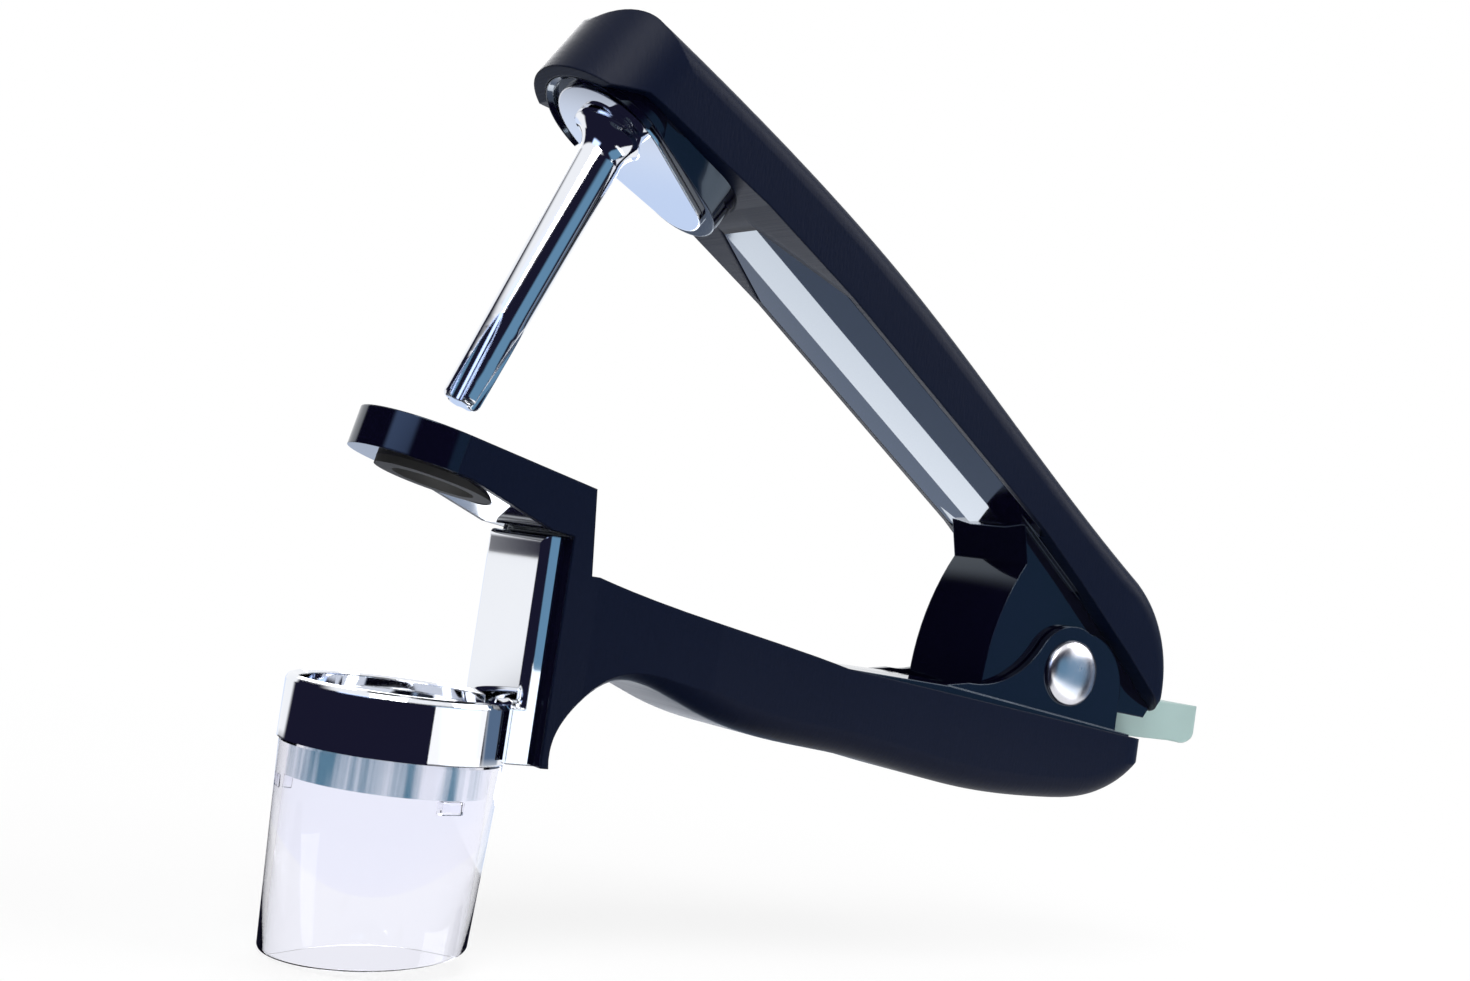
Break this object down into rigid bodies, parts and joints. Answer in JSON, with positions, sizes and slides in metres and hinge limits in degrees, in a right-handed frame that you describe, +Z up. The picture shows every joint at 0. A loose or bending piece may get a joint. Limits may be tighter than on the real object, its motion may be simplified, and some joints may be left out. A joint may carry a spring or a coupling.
{
  "type": "cherry pitter",
  "caption": "Hand cherry pitter: two soft-grip levers hinged at one end, a fluted rod, a slanted guide plate, a chromed fruit cup and a clear splash shield below.",
  "frame": {"origin": "middle of the splash shield's foot, on the cup's axis", "axes": "+X from the cup towards the hinge, +Z up along the cup's axis, +Y across the levers"},
  "size_m": [0.1516, 0.028, 0.1215],
  "materials": {
    "soft_grip": "satin black soft grip with a faint navy tint",
    "gloss_core": "polished black",
    "chrome": "polished",
    "steel": "satin",
    "clear_plastic": "clear, polished",
    "frosted_tab": "frosted translucent",
    "bearing_plastic": "matt black"
  },
  "bodies": {
    "lower_lever": {"lower_core": "gloss_core", "lower_grip": "soft_grip", "stripper_ring": "bearing_plastic", "cherry_holder": "chrome", "shield_collar": "chrome", "holder_screws": "steel", "pivot_rivet": "steel", "pivot_bush": "bearing_plastic", "thrust_washers": "bearing_plastic", "torsion_spring": "steel", "lock_leaf": "steel", "leaf_screw": "steel"},
    "upper_lever": {"upper_core": "gloss_core", "upper_grip": "soft_grip", "drum_trim": "gloss_core", "plunger": "chrome", "plunger_screws": "steel"},
    "lock": {"lock_slider": "frosted_tab", "lock_pin": "steel"},
    "shield": {"splash_shield": "clear_plastic"}
  },
  "joints": [
    {"name": "lever_squeeze", "type": "hinge", "parent": "lower_lever", "child": "upper_lever", "pos_m": [0.1024, 0, 0.04395], "axis": [0, -1, 0], "range_deg": [0, 23], "stiffness_Nm_per_rad": 0.3, "springref_deg": -22.92},
    {"name": "lock_slide", "type": "slide", "parent": "lower_lever", "child": "lock", "axis": [-1, 0, 0], "range_m": [0, 0.005]},
    {"name": "shield_pull", "type": "slide", "parent": "lower_lever", "child": "shield", "axis": [0, 0, -1], "range_m": [0, 0.025]}
  ]
}
